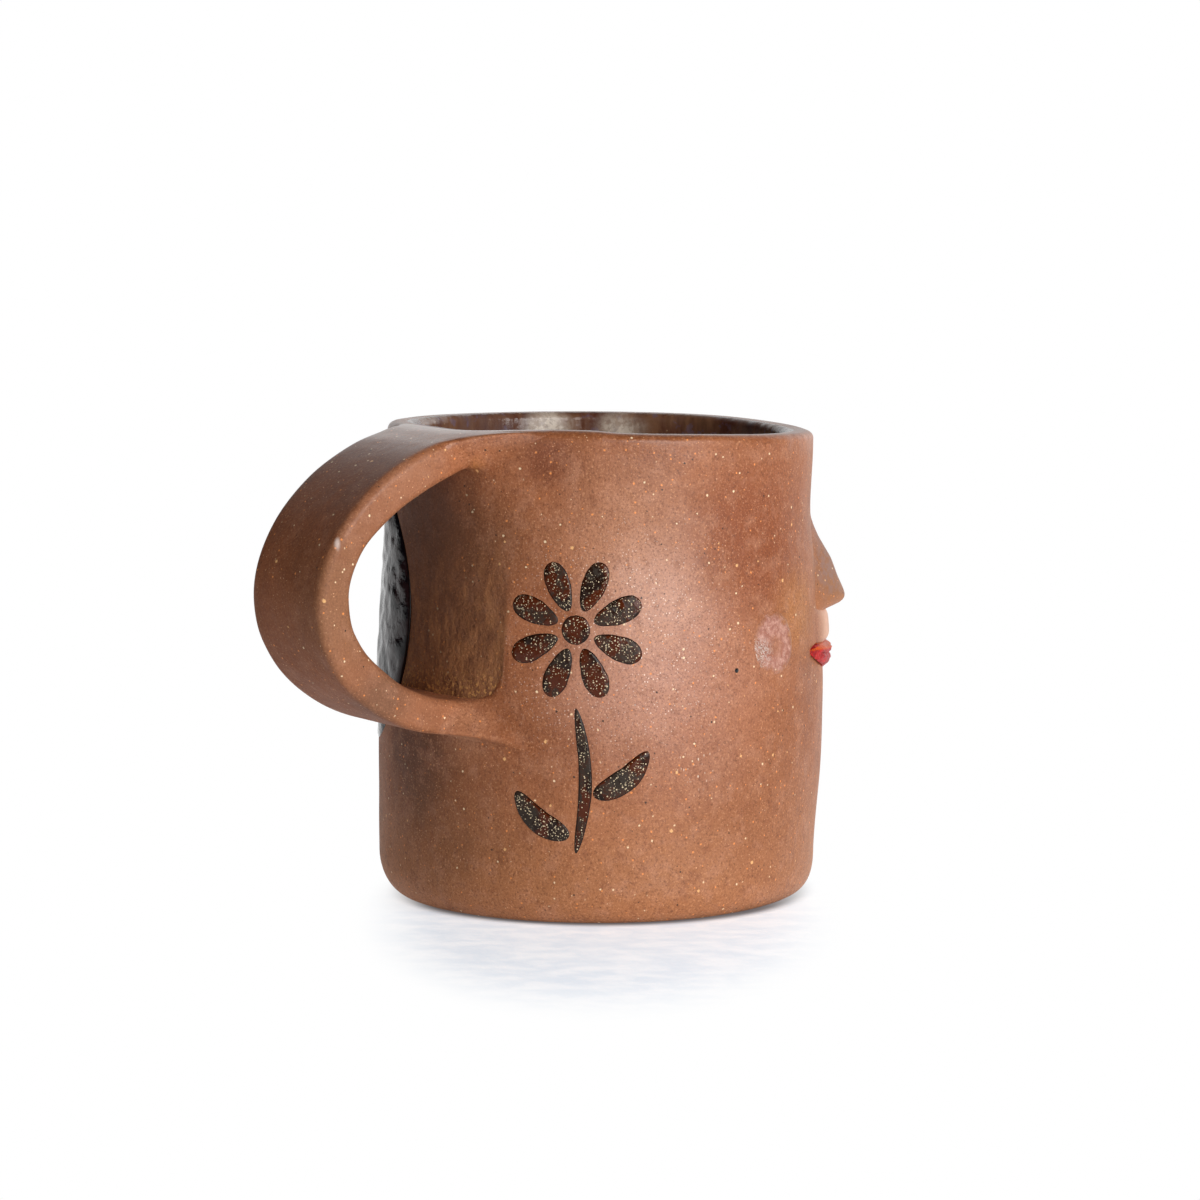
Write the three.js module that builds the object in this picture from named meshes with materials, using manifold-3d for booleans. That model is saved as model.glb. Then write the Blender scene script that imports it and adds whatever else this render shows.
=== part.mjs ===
// A hand-built stoneware mug with a strap handle, a small relief face and brushed glaze marks.
// Millimetres, +Z up. The origin is the middle of the foot on the table and the handle points along -X.
// Each piece of clay, slip and glaze that the maker put on is a mesh of its own.
import * as THREE from "three";
import { mergeVertices } from "three/addons/utils/BufferGeometryUtils.js";
import Module from "manifold-3d";

const wasm = await Module();
wasm.setup();

const degree = Math.PI / 180;

// Gap left between two pieces that lie on each other, and how far a cutter runs past what it cuts
const clearance = 0.3;
const overrun = 5;

// Edge rounding of a slab of clay, as a share of its thickness
const roundShare = 0.32;

// Body: a slab wall standing on a floor disc
const rimHeight = 90.6;
const bellyRadius = 43.1;
const rimInset = 2.1;
const rimRadius = bellyRadius - rimInset;
const shoulderHeight = 57;
const shoulderSpread = 7;
const wallThickness = 5;
const rimRound = roundShare * wallThickness;
const floorThickness = 6;
const footRound = 5.1;
const seamCoilSize = 4;
const linerThickness = 0.5;
const linerDrop = 2;

// Where the face looks, and how far round the wall the hands pushed it for the face
const faceAngle = -42 * degree;
const faceSpread = 40 * degree;
const browHollow = 0.9;
const browHeight = 73;
const browSpread = 9;
const chinSwell = 0.5;
const chinHeight = 41;
const chinSpread = 7;
const footDraw = 1.4;
const footDrawSpread = 18;
const rimDip = 1.8;
const rimDipSpread = 50 * degree;
const rimDipReach = 24;

// Handle: a flat strap, flared where it meets the wall, each end set in a bed of slip
const strapWidth = 21;
const strapThickness = 7;
const strapRound = roundShare * strapThickness;
const handleReach = 29;
const handleTopStep = 0.1;
const handleRise = 47.8;
const nearFlare = 13;
const farFlare = 1.5;
const flareThickness = 0.8;
const flareLength = 20;
const slipThickness = 0.5;
const slipMargin = 1;

// How far a bed's corners are drawn in
const cornerShare = 0.15;

// Centre line of the strap from the upper joint to the lower one: share of the reach, share of the rise
const strapPathShares = [
  [-0.395, 1.0],
  [0.035, 0.99],
  [0.281, 0.947],
  [0.687, 0.81],
  [0.94, 0.635],
  [1.0, 0.5],
  [0.94, 0.315],
  [0.726, 0.16],
  [0.29, 0.03],
  [0.035, 0.002],
  [-0.395, 0.0],
];

// Nose, philtrum and lips: pads of clay pressed onto the wall
const padEdge = 0.4;
const faceGap = 0.6;
const noseLength = 17.8;
const noseUnderside = 2.4;
const noseProjection = 5.3;
const noseRootHalfWidth = 2.4;
const noseBaseHalfWidth = 8.2;
const philtrumHalfWidth = 4.2;
const philtrumHalfHeight = 2.3;
const philtrumLift = 1.9;
const mouthHeight = 45.4;
const mouthHalfWidth = 11.2;
const lipLift = 2.3;
const upperLipHeight = 2.4;
const lowerLipHeight = 2.6;
const blushAngle = 40.4 * degree;
const blushHeight = 50.9;
const blushRadius = 5.9;
const blushThickness = 0.3;

// Brushed glaze marks
const glazeThickness = 0.4;
const spotAngle = 138 * degree;
const spotRise = 16.5;
const spotHalfWidth = 24.5;
const spotHalfHeight = 25.5;
const flowerAngle = -138 * degree;
const flowerRise = 16.7;
const flowerDotRadius = 2.7;
const petalCount = 8;
const petalLength = 9.6;
const petalHalfWidth = 2.3;
const markGap = 0.9;
const markEndHalfWidth = 0.5;
const stemLength = 26.9;
const stemHalfWidth = 1.2;
const stemSway = 1.8;
const leafLength = 13;
const leafHalfWidth = 2.4;
const leafTilt = 52 * degree;
const leafBend = 1.5;
const leafFootShares = [0.08, 0.36];

// How finely the round forms are stepped
const wallSteps = 54;
const linerSteps = 42;
const wallLevels = 9;
const roundSteps = 4;

const clay = new THREE.MeshStandardMaterial({ color: 0xa8714f, roughness: 0.7, metalness: 0 });
const darkClay = new THREE.MeshStandardMaterial({ color: 0x96623f, roughness: 0.75, metalness: 0 });
const slip = new THREE.MeshStandardMaterial({ color: 0xa36c4a, roughness: 0.8, metalness: 0 });
const linerGlaze = new THREE.MeshStandardMaterial({ color: 0x6b4936, roughness: 0.15, metalness: 0 });
const darkGlaze = new THREE.MeshStandardMaterial({ color: 0x33221a, roughness: 0.2, metalness: 0 });
const redGlaze = new THREE.MeshStandardMaterial({ color: 0xb5433f, roughness: 0.3, metalness: 0 });
const pinkSlip = new THREE.MeshStandardMaterial({ color: 0xc7968a, roughness: 0.6, metalness: 0 });

const mug = new THREE.Group();

function bell(t) {
  return Math.exp(-t * t);
}

// The smaller turn from one angle to another, between -pi and pi.
function turnBetween(from, to) {
  return Math.atan2(Math.sin(to - from), Math.cos(to - from));
}

// Outside radius of the wall before the hands pushed it.
function outerRadius(height) {
  return rimRadius + (bellyRadius - rimRadius) / (1 + Math.exp((height - shoulderHeight) / shoulderSpread));
}

// How far the hands pushed the wall out, or in where it is negative.
function handwork(angle, height) {
  const facing = bell(turnBetween(faceAngle, angle) / faceSpread);
  const brow = browHollow * bell((height - browHeight) / browSpread);
  const chin = chinSwell * bell((height - chinHeight) / chinSpread);
  const foot = footDraw * bell(height / footDrawSpread);
  return facing * (chin - brow - foot);
}

// A point of the mug at an angle: the round form with the handwork and the dip of the rim added.
function pushed(angle, radius, height) {
  const share = Math.max(0, 1 - (rimHeight - height) / rimDipReach);
  const dip = rimDip * share * share * bell(turnBetween(faceAngle, angle) / rimDipSpread);
  const r = radius * (1 + handwork(angle, height) / bellyRadius);
  return new THREE.Vector3(r * Math.cos(angle), r * Math.sin(angle), height - dip);
}

// A closed profile of [radius, height] points turned round +Z and pushed into the hand-made form.
function turned(profile, steps) {
  const points = profile.map(([radius, height]) => new THREE.Vector2(radius, height));
  const geometry = new THREE.LatheGeometry(points, steps).rotateX(Math.PI / 2);
  const position = geometry.getAttribute("position");
  for (let i = 0; i < position.count; i += 1) {
    const x = position.getX(i);
    const y = position.getY(i);
    const point = pushed(Math.atan2(y, x), Math.hypot(x, y), position.getZ(i));
    position.setXYZ(i, point.x, point.y, point.z);
  }
  return geometry;
}

// [radius, height] points up the outside of the wall, a given distance off it.
function wallLine(low, high, offset, levels) {
  return Array.from({ length: levels + 1 }, (_, i) => {
    const height = low + ((high - low) * i) / levels;
    return [outerRadius(height) + offset, height];
  });
}

// [radius, height] points on a quarter round, from one turn to another, about a centre.
function arc(centre, across, up, from, to) {
  return Array.from({ length: roundSteps + 1 }, (_, i) => {
    const angle = from + ((to - from) * i) / roundSteps;
    return [centre[0] + across * Math.cos(angle), centre[1] + up * Math.sin(angle)];
  });
}

function solidFrom(geometry) {
  const bare = geometry.clone();
  bare.deleteAttribute("normal");
  bare.deleteAttribute("uv");
  const merged = mergeVertices(bare);
  return new wasm.Manifold(
    new wasm.Mesh({
      numProp: 3,
      vertProperties: merged.getAttribute("position").array,
      triVerts: new Uint32Array(merged.index.array),
    }),
  );
}

function geometryFrom(solid) {
  const cut = solid.getMesh();
  const geometry = new THREE.BufferGeometry();
  geometry.setAttribute("position", new THREE.BufferAttribute(cut.vertProperties, 3));
  geometry.setIndex(new THREE.BufferAttribute(cut.triVerts, 1));
  geometry.computeVertexNormals();
  return geometry;
}

function add(name, geometry, material) {
  const mesh = new THREE.Mesh(geometry, material);
  mesh.name = name;
  mug.add(mesh);
}

// Joins two grids of points, each a list of rows, into one closed shell: outer sheet, base sheet and edge.
function shell(outer, base) {
  const rows = outer.length;
  const columns = outer[0].length;
  const points = [...outer.flat(), ...base.flat()];
  const index = [];
  const at = (sheet, i, j) => sheet * rows * columns + i * columns + j;
  const face = (a, b, c, d) => index.push(a, b, c, a, c, d);
  for (let i = 0; i + 1 < rows; i += 1) {
    for (let j = 0; j + 1 < columns; j += 1) {
      face(at(0, i, j), at(0, i, j + 1), at(0, i + 1, j + 1), at(0, i + 1, j));
      face(at(1, i, j), at(1, i + 1, j), at(1, i + 1, j + 1), at(1, i, j + 1));
    }
  }
  for (let j = 0; j + 1 < columns; j += 1) {
    face(at(0, 0, j), at(1, 0, j), at(1, 0, j + 1), at(0, 0, j + 1));
    face(at(0, rows - 1, j + 1), at(1, rows - 1, j + 1), at(1, rows - 1, j), at(0, rows - 1, j));
  }
  for (let i = 0; i + 1 < rows; i += 1) {
    face(at(0, i + 1, 0), at(1, i + 1, 0), at(1, i, 0), at(0, i, 0));
    face(at(0, i, columns - 1), at(1, i, columns - 1), at(1, i + 1, columns - 1), at(0, i + 1, columns - 1));
  }
  const geometry = new THREE.BufferGeometry().setFromPoints(points);
  geometry.setIndex(index);
  geometry.computeVertexNormals();
  return geometry;
}

// A pad lying on the wall. place(s, q), with s and q from -1 to 1, gives the distance round the wall from the
// pad's middle, the height, and the thickness there. Its underside lies a clearance off the wall.
function padOnWall(middleAngle, rows, columns, place, underside = clearance) {
  const sheet = (thick) =>
    Array.from({ length: rows + 1 }, (_, i) =>
      Array.from({ length: columns + 1 }, (_, j) => {
        const [across, height, thickness] = place((2 * i) / rows - 1, (2 * j) / columns - 1);
        const radius = outerRadius(height);
        return pushed(middleAngle + across / radius, radius + underside + thick * thickness, height);
      }),
    );
  return shell(sheet(1), sheet(0));
}

// The square of s and q drawn round into a disc.
function round(s, q) {
  return [s * Math.sqrt(1 - (q * q) / 2), q * Math.sqrt(1 - (s * s) / 2)];
}

function ovalPad(middleAngle, middleHeight, halfWidth, halfHeight, steps, thickness) {
  return padOnWall(middleAngle, steps, steps, (s, q) => {
    const [up, across] = round(s, q);
    return [across * halfWidth, middleHeight + up * halfHeight, thickness(Math.hypot(up, across))];
  });
}

// A brush stroke on the wall: a line of [across, height] points with a half width along it.
function strokePad(middleAngle, steps, line, halfWidth) {
  return padOnWall(middleAngle, steps, 2, (s, q) => {
    const t = (s + 1) / 2;
    const step = 1 / (2 * steps);
    const [x, y] = line(t);
    const [x0, y0] = line(t - step);
    const [x1, y1] = line(t + step);
    const length = Math.hypot(x1 - x0, y1 - y0);
    const side = (q * halfWidth(t)) / length;
    return [x + side * (y1 - y0), y - side * (x1 - x0), glazeThickness];
  });
}

// Floor disc with a rounded foot, and the slab wall standing on it
const footRadius = outerRadius(floorThickness) - footRound;
const floorProfile = [
  [0, 0],
  ...arc([footRadius, floorThickness], footRound, floorThickness, -Math.PI / 2, 0),
  [0, floorThickness],
];
add("floor_disc", turned(floorProfile, wallSteps), clay);

const wallProfile = [
  ...wallLine(floorThickness, rimHeight - rimRound, 0, wallLevels),
  ...arc([outerRadius(rimHeight) - rimRound, rimHeight - rimRound], rimRound, rimRound, 0, Math.PI / 2),
  ...arc(
    [outerRadius(rimHeight) - wallThickness + rimRound, rimHeight - rimRound],
    rimRound,
    rimRound,
    Math.PI / 2,
    Math.PI,
  ),
  ...wallLine(rimHeight - rimRound, floorThickness, -wallThickness, wallLevels).slice(1),
];
wallProfile.push(wallProfile[0]);
add("body_wall", turned(wallProfile, wallSteps), clay);

// Coil pressed into the inside corner between floor and wall
const coilRadius = outerRadius(floorThickness) - wallThickness - clearance;
const coilHollow = [coilRadius - seamCoilSize, floorThickness + seamCoilSize];
const coilProfile = [
  [coilRadius, floorThickness],
  [coilRadius, floorThickness + seamCoilSize],
  ...arc(coilHollow, seamCoilSize, seamCoilSize, 0, -Math.PI / 2).slice(1),
  [coilRadius, floorThickness],
];
add("seam_coil", turned(coilProfile, linerSteps), darkClay);

// Glaze lining the inside: a thin cup that follows the wall, the coil and the floor
function linerLine(offset) {
  const corner = [coilHollow[0], coilHollow[1]];
  const bend = seamCoilSize - offset;
  return [
    [0, floorThickness + offset],
    ...arc(corner, bend, bend, -Math.PI / 2, 0),
    ...wallLine(
      floorThickness + 2 * seamCoilSize,
      rimHeight - rimRound - linerDrop,
      -wallThickness - offset,
      wallLevels,
    ),
  ];
}
const linerProfile = [...linerLine(clearance), ...linerLine(clearance + linerThickness).reverse()];
add("inner_glaze", turned(linerProfile, linerSteps), linerGlaze);

// Slip beds that the handle's two ends are set in
const upperJointHeight = rimHeight - handleTopStep - strapThickness / 2 - flareThickness;
const lowerJointHeight = upperJointHeight - handleRise;
const bedHalfHeight = strapThickness / 2 + flareThickness + slipMargin;
const bedHalfWidth = (strapWidth + nearFlare + farFlare) / 2 + slipMargin;
const bedAngle = Math.PI + (nearFlare - farFlare) / 2 / bellyRadius;

function bed(low, high, margin, thickness, underside) {
  const middle = (low + high) / 2;
  const place = (s, q) => [
    q * (bedHalfWidth + margin) * (1 - cornerShare * s ** 4),
    middle + s * ((high - low) / 2 + margin) * (1 - cornerShare * q ** 4),
    thickness,
  ];
  return padOnWall(bedAngle, 4, 8, place, underside);
}
const upperBedSpan = [upperJointHeight - bedHalfHeight, rimHeight - rimRound];
add("upper_slip_bed", bed(...upperBedSpan, 0, slipThickness), slip);
const lowerBedSpan = [lowerJointHeight - bedHalfHeight, lowerJointHeight + bedHalfHeight];
add("lower_slip_bed", bed(...lowerBedSpan, 0, slipThickness), slip);

// Strap handle: rounded sections along the centre line, cut to the curve of the wall
const strapPath = new THREE.CatmullRomCurve3(
  strapPathShares.map(
    ([out, up]) =>
      new THREE.Vector3(-bellyRadius - out * handleReach, 0, lowerJointHeight + up * handleRise),
  ),
  false,
  "centripetal",
);

function strapSection(centre, tangent) {
  const flareEnd = Math.sqrt(outerRadius(centre.z) ** 2 - (strapWidth / 2 + nearFlare) ** 2);
  const flare = THREE.MathUtils.clamp(1 - (-centre.x - flareEnd) / flareLength, 0, 1) ** 2;
  const nearHalf = strapWidth / 2 + nearFlare * flare;
  const farHalf = strapWidth / 2 + farFlare * flare;
  const halfThickness = (strapThickness + 2 * flareThickness * flare) / 2;
  const outward = new THREE.Vector3(-tangent.z, 0, tangent.x);
  const corners = [
    [1, 1, 0],
    [-1, 1, 1],
    [-1, -1, 2],
    [1, -1, 3],
  ];
  return corners.flatMap(([side, face, quarter]) =>
    arc(
      [side > 0 ? farHalf - strapRound : strapRound - nearHalf, face * (halfThickness - strapRound)],
      strapRound,
      strapRound,
      (quarter * Math.PI) / 2,
      ((quarter + 1) * Math.PI) / 2,
    ).map(([across, through]) =>
      centre.clone().addScaledVector(outward, through).add(new THREE.Vector3(0, across, 0)),
    ),
  );
}

function strapGeometry(steps) {
  const rings = Array.from({ length: steps + 1 }, (_, i) =>
    strapSection(strapPath.getPointAt(i / steps), strapPath.getTangentAt(i / steps)),
  );
  const around = rings[0].length;
  const points = [...rings.flat(), strapPath.getPointAt(0), strapPath.getPointAt(1)];
  const index = [];
  for (let k = 0; k < around; k += 1) {
    const next = (k + 1) % around;
    for (let i = 0; i < steps; i += 1) {
      const a = i * around + k;
      const b = i * around + next;
      index.push(a, b, b + around, a, b + around, a + around);
    }
    index.push(points.length - 2, next, k);
    index.push(points.length - 1, steps * around + k, steps * around + next);
  }
  const geometry = new THREE.BufferGeometry().setFromPoints(points);
  geometry.setIndex(index);
  return geometry;
}

const blankProfile = [
  [0, -overrun],
  ...wallLine(-overrun, rimHeight + overrun, 2 * clearance + slipThickness, wallLevels),
  [0, rimHeight + overrun],
];
const strapSteps = 26;
const wallBlank = solidFrom(turned(blankProfile, wallSteps));
const strap = solidFrom(strapGeometry(strapSteps)).subtract(wallBlank);
add("handle_strap", geometryFrom(strap), clay);

// Heights of the face, built up from the mouth
const philtrumHeight = mouthHeight + clearance / 2 + upperLipHeight + faceGap + philtrumHalfHeight;
const noseTipHeight = philtrumHeight + philtrumHalfHeight + faceGap + noseUnderside;

// Nose: a wedge drawn down from the brow to a tip, with an underside that turns back to the wall
const noseRows = 12;
const noseTipShare = 0.8;
const noseCurve = 1.6;
add(
  "nose",
  padOnWall(faceAngle, noseRows, 8, (s, q) => {
    const t = (s + 1) / 2;
    const along = Math.min(1, t / noseTipShare);
    const under = Math.max(0, (t - noseTipShare) / (1 - noseTipShare));
    const height = noseTipHeight + noseLength * (1 - along) - noseUnderside * under;
    const halfWidth = noseRootHalfWidth + (noseBaseHalfWidth - noseRootHalfWidth) * along ** 1.2;
    const ridge = noseProjection * Math.sin((Math.PI / 2) * along) ** noseCurve * (1 - under ** 2.5);
    const lift = padEdge + Math.max(0, ridge - padEdge) * (1 - q * q) ** 1.6;
    return [-q * halfWidth, height, lift];
  }),
  clay,
);

function domed(lift) {
  return (share) => padEdge + (lift - padEdge) * Math.sqrt(Math.max(0, 1 - share * share));
}
add(
  "philtrum",
  ovalPad(faceAngle, philtrumHeight, philtrumHalfWidth, philtrumHalfHeight, 6, domed(philtrumLift)),
  clay,
);

// Lips: two rolls of clay either side of the mouth line, the upper one with a shallow bow
function lip(side, lipHeight) {
  return padOnWall(faceAngle, 4, 12, (s, q) => {
    const t = (s + 1) / 2;
    const fullness = 1 - q * q;
    const bow = side > 0 ? 1 - 0.3 * bell(q / 0.16) : 1;
    const share = side > 0 ? t : 1 - t;
    const lipTop = padEdge + (lipHeight - padEdge) * fullness * bow;
    const height = mouthHeight + side * (clearance / 2 + share * lipTop);
    const roll = Math.sqrt(fullness) * Math.sin(Math.PI * (0.15 + 0.85 * share));
    return [q * mouthHalfWidth, height, padEdge + (lipLift - padEdge) * Math.max(0, roll)];
  });
}
add("upper_lip", lip(1, upperLipHeight), redGlaze);
add("lower_lip", lip(-1, lowerLipHeight), redGlaze);

// Round patches of pink slip on the cheeks
const evenBlush = () => blushThickness;
["near_blush", "far_blush"].forEach((name, i) => {
  const side = i === 0 ? -1 : 1;
  add(
    name,
    ovalPad(faceAngle + side * blushAngle, blushHeight, blushRadius, blushRadius, 6, evenBlush),
    pinkSlip,
  );
});

// Brushed glaze keeps clear of the slip beds
const bedRoom = [upperBedSpan, lowerBedSpan]
  .map((span) => solidFrom(bed(...span, clearance, 2 * overrun, -overrun)))
  .reduce((joined, room) => joined.add(room));
function addMark(name, geometry) {
  add(name, geometryFrom(solidFrom(geometry).subtract(bedRoom)), darkGlaze);
}

// Round spot on the back, level with the middle of the handle
const spotHeight = lowerJointHeight + spotRise;
const evenGlaze = () => glazeThickness;
addMark("back_spot", ovalPad(spotAngle, spotHeight, spotHalfWidth, spotHalfHeight, 10, evenGlaze));

// Brushed flower above the handle's lower joint: petals round a dot, over a swaying stem with two leaves
const flowerHeight = lowerJointHeight + flowerRise;
addMark("flower_dot", ovalPad(flowerAngle, flowerHeight, flowerDotRadius, flowerDotRadius, 6, evenGlaze));

// An almond-shaped stroke from a foot, leaning by an angle from upright and bowed to one side.
function almond(name, foot, lean, length, fullHalfWidth, bow) {
  const line = (t) => {
    const along = length * t;
    const aside = bow * Math.sin(Math.PI * t);
    return [
      foot[0] + along * Math.sin(lean) + aside * Math.cos(lean),
      foot[1] + along * Math.cos(lean) - aside * Math.sin(lean),
    ];
  };
  const halfWidth = (t) => markEndHalfWidth + (fullHalfWidth - markEndHalfWidth) * Math.sin(Math.PI * t);
  addMark(name, strokePad(flowerAngle, 8, line, halfWidth));
}

const petalFoot = flowerDotRadius + markGap;
for (let i = 0; i < petalCount; i += 1) {
  const lean = (2 * Math.PI * (i + 0.5)) / petalCount;
  const foot = [petalFoot * Math.sin(lean), flowerHeight + petalFoot * Math.cos(lean)];
  almond("flower_petal_" + (i + 1), foot, lean, petalLength, petalHalfWidth, 0);
}

const stemFootHeight = flowerHeight - petalFoot - petalLength - markGap - stemLength;
const stemLine = (t) => [stemSway * Math.sin(Math.PI * t), stemFootHeight + stemLength * t];
addMark("flower_stem", strokePad(flowerAngle, 12, stemLine, () => stemHalfWidth));

leafFootShares.forEach((share, i) => {
  const side = i === 0 ? -1 : 1;
  const [across, height] = stemLine(share);
  const foot = [across + side * (stemHalfWidth + markGap), height];
  almond("flower_leaf_" + (i + 1), foot, side * leafTilt, leafLength, leafHalfWidth, side * leafBend);
});

export default mug;
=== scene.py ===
from math import atan2, cos, exp, hypot, pi, radians, sin, sqrt

import bpy
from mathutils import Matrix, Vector, noise


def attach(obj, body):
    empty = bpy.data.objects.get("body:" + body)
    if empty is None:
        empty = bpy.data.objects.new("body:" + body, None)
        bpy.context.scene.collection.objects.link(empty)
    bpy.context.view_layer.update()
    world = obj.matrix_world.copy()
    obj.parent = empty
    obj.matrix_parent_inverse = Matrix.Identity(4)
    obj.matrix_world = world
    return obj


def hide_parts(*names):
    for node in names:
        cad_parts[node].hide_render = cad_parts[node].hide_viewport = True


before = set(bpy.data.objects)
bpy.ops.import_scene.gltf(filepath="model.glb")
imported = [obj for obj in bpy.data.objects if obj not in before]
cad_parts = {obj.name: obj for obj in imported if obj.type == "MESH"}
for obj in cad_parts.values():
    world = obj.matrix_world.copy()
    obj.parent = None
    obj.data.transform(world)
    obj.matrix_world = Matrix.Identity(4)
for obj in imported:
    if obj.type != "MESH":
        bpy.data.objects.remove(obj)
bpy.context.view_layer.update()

# Cup: the floor disc, the rolled slab wall and the coil in their corner, stoneware smoothed into one body
# with a rounded rim. The profile is turned upright about +Z. The hands' work is then pushed into it: a wide
# belly, a hollow over the nose, a dip in the rim over the face, and scraped clay inside the handle's loop.
MM = 0.001
FACE = radians(-42)
RIM = 90.4 * MM
RIM_ROUND = 1.6 * MM
RIM_REACH = 24 * MM
BELLY = 42.8 * MM
WALL = 5.0 * MM
WALL_ARC = 43 * MM
FLOOR = 6.0 * MM
SEAM_COIL = 4.0 * MM
FOOT_DEPTH = 4.8 * MM
FOOT_HEIGHT = 7.5 * MM
SHOULDER_RADIUS = 40.8 * MM
SHOULDER_HEIGHT = 58 * MM
SHOULDER_SPREAD = 7 * MM
BELLY_GAIN = 2.0 * MM
FACE_TURN = 40
BROW_HOLLOW = 0.7 * MM
BROW_HEIGHT = 73 * MM
BROW_SPREAD = 8 * MM
CHIN_SWELL = 0.25 * MM
CHIN_HEIGHT = 44 * MM
CHIN_SPREAD = 7 * MM
JAW_TURN = 60
JAW_DRAW = 1.5 * MM
JAW_HEIGHT = 6 * MM
JAW_SPREAD = 14 * MM
# Thumb marks: degrees round and their spread, mm up and their spread, and the push outwards in mm.
THUMB_MARKS = ((-146, 7, 84, 4, -0.45), (-163.5, 1.7, 86, 2.2, 0.35), (-128, 24, 88.6, 1.3, 0.22))
# The rim's dips: degrees round, their spread, and how far down. At the strap's root it rises instead, and
# the side's dip starts at a small step.
FACE_DIP_TURN = 50
FACE_DIP = 1.8 * MM
HANDLE_DIP = (-174, 16, 0.45 * MM)
ROOT_DIP = (-142, 9, -0.1 * MM)
SIDE_DIP = (-104, 34, 0.62 * MM)
STEP_TURN = -131
STEP_SPREAD = 1.5
LOOP_MIDDLE = -1.0 * MM
LOOP_HALF = 15.9 * MM
LOOP_TOP = 62 * MM
LOOP_DROP = 22.5 * MM
LOOP_SQUARENESS = 8
SCRAPE_DEPTH = 0.35 * MM
CUP_STEPS = 360
OUTSIDE_STEPS = 92
INSIDE_STEPS = 36
FOOT_STEPS = 14
ROUND_STEPS = 6


def bell(t):
    return exp(-t * t)


def clamped(t):
    return max(0, min(1, t))


def turned_from(angle, centre):
    """Degrees from centre, the short way round."""
    turn = angle - radians(centre)
    return atan2(sin(turn), cos(turn)) * 180 / pi


def facing(angle, spread):
    """How much a place on the wall belongs to the face, from 0 to 1."""
    return bell(turned_from(angle, FACE * 180 / pi) / spread)


def swell(angle, height, size, depth):
    """The slow swells that fingers leave in clay."""
    place = Vector((42 * MM * cos(angle), 42 * MM * sin(angle), height))
    return depth * noise.noise(place / size)


def in_loop(angle, height):
    """1 on the clay inside the handle's loop, which the maker scraped but couldn't smooth, else 0."""
    if cos(angle) > 0:
        return 0
    sideways = abs(BELLY * sin(angle) - LOOP_MIDDLE) / LOOP_HALF
    down = max(0, LOOP_TOP - height) / LOOP_DROP
    t = clamped((1.2 - sideways ** LOOP_SQUARENESS - down ** LOOP_SQUARENESS) / 0.4)
    fade = clamped((70 * MM - height) / (14 * MM))
    return t * t * (3 - 2 * t) * fade


def wall_radius(angle, height):
    """A belly under a narrower shoulder, with the face's hollows, the thumb marks and the slow swells."""
    r = SHOULDER_RADIUS + BELLY_GAIN / (1 + exp((height - SHOULDER_HEIGHT) / SHOULDER_SPREAD))
    brow = BROW_HOLLOW * bell((height - BROW_HEIGHT) / BROW_SPREAD)
    chin = CHIN_SWELL * bell((height - CHIN_HEIGHT) / CHIN_SPREAD)
    r += facing(angle, FACE_TURN) * (chin - brow)
    r -= JAW_DRAW * facing(angle, JAW_TURN) * bell((height - JAW_HEIGHT) / JAW_SPREAD)
    for centre, turn, middle, spread, push in THUMB_MARKS:
        r += push * MM * bell(turned_from(angle, centre) / turn) * bell((height / MM - middle) / spread)
    return r + swell(angle, height, 24 * MM, 0.25 * MM) + swell(angle, height, 8 * MM, 0.08 * MM)


def rim_dip(angle, dip):
    centre, turn, depth = dip
    return depth * bell(turned_from(angle, centre) / turn)


def rim_height(angle):
    """The rim dips over the face, falls off a small step beside the flower, and sinks at the handle."""
    past_step = 1 / (1 + exp(-turned_from(angle, STEP_TURN) / STEP_SPREAD))
    dip = FACE_DIP * facing(angle, FACE_DIP_TURN) + past_step * rim_dip(angle, SIDE_DIP)
    dip += rim_dip(angle, HANDLE_DIP) + rim_dip(angle, ROOT_DIP)
    return RIM - dip + swell(angle, 0, 20 * MM, 0.12 * MM)


def on_wall(angle, height, lift):
    r = wall_radius(angle, height) + lift
    return Vector((r * cos(angle), r * sin(angle), height))


def ladder(low, high, steps):
    return [low + (high - low) * i / steps for i in range(steps + 1)]


def quarter(centre, radius, start, steps):
    """Points on a quarter round, anticlockwise from start."""
    turns = ladder(start, start + pi / 2, steps)
    return [(centre[0] + radius * cos(a), centre[1] + radius * sin(a)) for a in turns]


def turned(name, profile, steps):
    """Draws out a line of [radius, height] points, one extrusion at a time, and spins it about +Z."""
    bpy.ops.object.select_all(action="DESELECT")
    bpy.ops.mesh.primitive_plane_add(size=MM, location=(profile[0][0], 0, profile[0][1]))
    piece = bpy.context.active_object
    piece.name = name
    bpy.ops.object.transform_apply(location=True, rotation=True, scale=True)
    bpy.ops.object.mode_set(mode="EDIT")
    bpy.ops.mesh.merge(type="CENTER")
    for (r0, z0), (r1, z1) in zip(profile, profile[1:]):
        bpy.ops.mesh.extrude_region_move(TRANSFORM_OT_translate={"value": (r1 - r0, 0, z1 - z0)})
    bpy.ops.mesh.select_all(action="SELECT")
    bpy.ops.mesh.spin(steps=steps, angle=2 * pi, center=(0, 0, 0), axis=(0, 0, 1))
    bpy.ops.mesh.select_all(action="SELECT")
    bpy.ops.mesh.remove_doubles(threshold=MM / 500)
    bpy.ops.mesh.normals_make_consistent(inside=False)
    bpy.ops.object.mode_set(mode="OBJECT")
    return piece


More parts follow.
